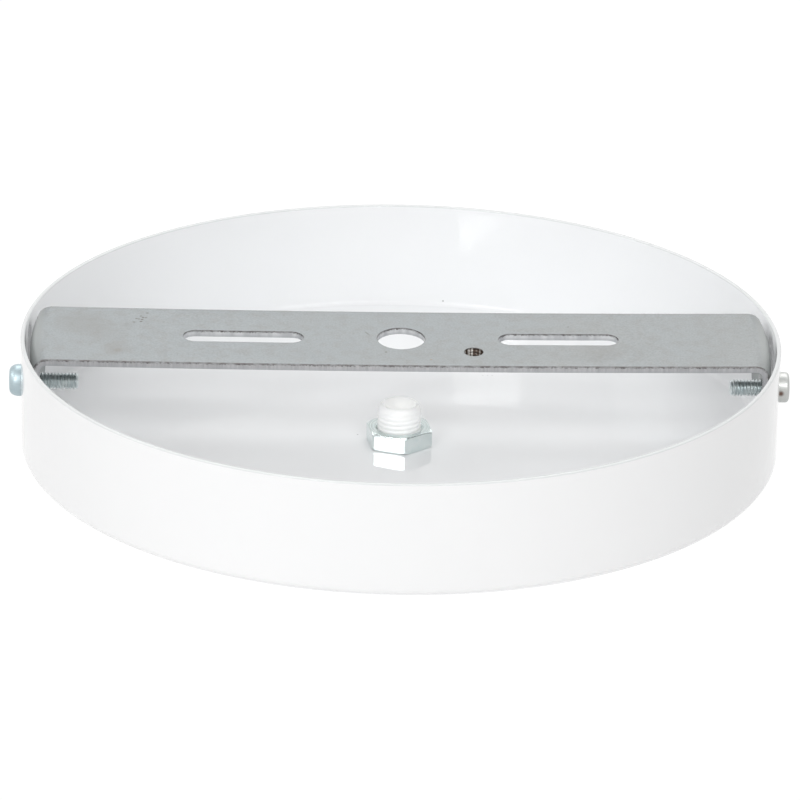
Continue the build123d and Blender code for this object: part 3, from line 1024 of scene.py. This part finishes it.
def bright_zinc(name, low, high, roughness, turned_face=None):
    """Bright zinc plating on turned steel: two close tones, a fine grain and a slight haze. Outside the wall
    the screws' heads are pale blue at the left and warm grey at the right. Above the height turned_face, the
    tone is greyer, with rings about the canopy's axis."""
    net = Surface(name)
    place = net.place()
    across = net.fill(net.node("SeparateXYZ"), {0: place})["X"]
    cloud = net.noise(place, 420, 5, 0.6)
    base = net.ramp(cloud, (0.3, low), (0.7, high))
    for side, tone in head_tones:
        head = net.above(net.times(across, side), canopy_radius)
        base = net.mix(head, base, tone, "MULTIPLY")
    base = net.mark(base, place, millimetres(head_stain), *head_stain[3:])
    if turned_face is not None:
        away, height = net.axis_place(place)
        rings = net.fill(net.node("TexNoise", noise_dimensions="1D"), {"Scale": 4200, "W": away})["Fac"]
        tone = net.ramp(rings, (0.38, (0.66, 0.68, 0.68)), (0.62, (0.88, 0.90, 0.89)))
        base = net.mix(net.above(height, turned_face), base, tone, "MULTIPLY")
    return net.finish(
        (net.noise(place, 2600, 3), 0.000008, 0.4), (cloud, 0.00002, 0.2), Base_Color=base, Metallic=1.0,
        Roughness=net.fade(cloud, 0.3, 0.7, roughness - 0.04, roughness + 0.05),
    )


def white_nylon():
    """Moulded white nylon: nearly pure white, with a soft sheen and a moulding texture. Light that its walls let
    through is painted as a faint glow, an emission above the canopy's floor that is stronger inside the bore."""
    net = Surface("moulded_white_nylon")
    place = net.place()
    away, height = net.axis_place(place)
    base = net.ramp(net.noise(place, 180, 3), (0.3, (0.905, 0.910, 0.907)), (0.7, (0.925, 0.927, 0.923)))
    inside = net.below(away, cord_bore_radius + 0.0002)
    # Painted glow: emission for light let through the walls, stronger inside the bore
    glow = net.math("MULTIPLY_ADD", inside, bore_painted_glow_gain * nylon_painted_glow, nylon_painted_glow)
    return net.finish(
        (net.noise(place, 3000, 2), 0.000006, 0.5), Base_Color=base, Roughness=0.42, Subsurface_Weight=0.3,
        Subsurface_Radius=(0.0012, 0.0012, 0.0011), Subsurface_Scale=1.0, Emission_Color=(1.0, 1.0, 0.985),
        Emission_Strength=net.times(glow, net.above(height, seat_top)),
    )


# Studio

def make_floor():
    """A pale floor well below the hanging canopy. Rays from the camera, or mirrored or passed on by the
    object, see it nearly white; it still takes the object's light and shadow, and its underside lets the
    camera look up."""
    mesh = bpy.data.meshes.new("studio_floor")
    reach = floor_reach
    corners = [(-reach, -reach), (reach, -reach), (reach, reach), (-reach, reach)]
    mesh.from_pydata([(*corner, floor_level) for corner in corners], [], [(0, 1, 2, 3)])
    net = Surface("pale_floor")
    mesh.materials.append(net.finish(Base_Color=(0.92, 0.92, 0.92), Roughness=0.9))
    plain = net.times(net.seen_plainly(), floor_glow_share)
    glow = net.fill(net.node("Emission"), {"Strength": floor_glow})[0]
    lit = net.fill(net.node("MixShader"), {0: plain, 1: net.shader.outputs["BSDF"], 2: glow})[0]
    back = net.node("NewGeometry").outputs["Backfacing"]
    clear = net.node("BsdfTransparent").outputs[0]
    net.feed(net.end, net.fill(net.node("MixShader"), {0: back, 1: lit, 2: clear})[0])
    floor = bpy.data.objects.new("studio_floor", mesh)
    bpy.context.scene.collection.objects.link(floor)


def make_world():
    """An even white surround: plain white to the camera and in mirrors, about half of that as light."""
    world = bpy.data.worlds.new("white_surround")
    world.use_nodes = True
    net = Net(world.node_tree)
    level = net.math("MULTIPLY_ADD", net.seen_plainly(), 1.0 - surround_light, surround_light)
    net.fill(net.nodes["Background"], {"Strength": level, "Color": (1.0, 1.0, 1.0)})
    bpy.context.scene.world = world


def make_softbox(name, azimuth, elevation, width, height, radiance):
    """A rectangular area lamp aimed at the origin. azimuth is counted from the front, to the right, and
    radiance in units of the white background: the lamp's energy is pi times that times its area."""
    lamp = bpy.data.lights.new(name, "AREA")
    lamp.shape = "RECTANGLE"
    lamp.size = width
    lamp.size_y = height
    lamp.energy = radiance * pi * width * height
    azimuth, elevation = radians(azimuth), radians(elevation)
    away = Vector((sin(azimuth) * cos(elevation), -cos(azimuth) * cos(elevation), sin(elevation)))
    softbox = bpy.data.objects.new(name, lamp)
    softbox.location = away * softbox_distance
    softbox.rotation_euler = (-away).to_track_quat("-Z", "Y").to_euler()
    bpy.context.scene.collection.objects.link(softbox)


def make_camera():
    """The photograph's view: forward (-sin a cos e, cos a cos e, -sin e), then rolled about that line."""
    azimuth, elevation, roll = radians(camera_azimuth), radians(camera_elevation), radians(camera_roll)
    forward = Vector((-sin(azimuth) * cos(elevation), cos(azimuth) * cos(elevation), -sin(elevation)))
    level_right = Vector((cos(azimuth), sin(azimuth), 0.0))
    level_down = forward.cross(level_right)
    right = level_right * cos(roll) + level_down * sin(roll)
    down = level_down * cos(roll) - level_right * sin(roll)
    lens = bpy.data.cameras.new("photo_camera")
    lens.sensor_width = sensor_width
    lens.lens = sensor_width * camera_focal_pixels / frame_pixels
    lens.clip_start, lens.clip_end = 0.05, 50.0
    camera = bpy.data.objects.new("photo_camera", lens)
    turned_to_view = Matrix((right, -down, -forward)).transposed().to_4x4()
    camera.matrix_world = Matrix.Translation(camera_aim - forward * camera_distance) @ turned_to_view
    bpy.context.scene.collection.objects.link(camera)
    bpy.context.scene.camera = camera


enamel = white_paint()
nylon = white_nylon()
screw_zinc = bright_zinc("bright_zinc_screw", (0.66, 0.72, 0.73), (0.82, 0.86, 0.86), 0.40)
nut_zinc = bright_zinc("bright_zinc_nut", (0.70, 0.78, 0.78), (0.80, 0.85, 0.84), 0.12, nut_high[2] - 0.00008)

make_shell(enamel)
make_crossbar(zinc_strip())
make_side_screw(-1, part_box("side_screw_left")[1].x + canopy_radius, screw_zinc)
make_side_screw(1, canopy_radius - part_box("side_screw_right")[0].x, screw_zinc)
make_cord_grip(nylon)
make_clamp_screw(nylon)
make_nut(nut_zinc)

make_floor()
make_world()
for name, *values in (
    ("key_softbox", -31, 27, 0.72, 0.25, 11.8),
    ("upper_softbox", -31, 47, 0.72, 0.30, 5.45),
    ("right_softbox", 21, 42, 1.1, 0.30, 9.4),
    ("left_softbox", -90, 30, 0.8, 0.5, 3.58),
    ("back_softbox", 180, 48, 1.2, 1.3, 1.85),
    ("back_right_softbox", 135, 44, 1.0, 1.2, 0.66),
):
    make_softbox(name, *values)
make_camera()

bpy.context.scene.view_settings.view_transform = "Standard"
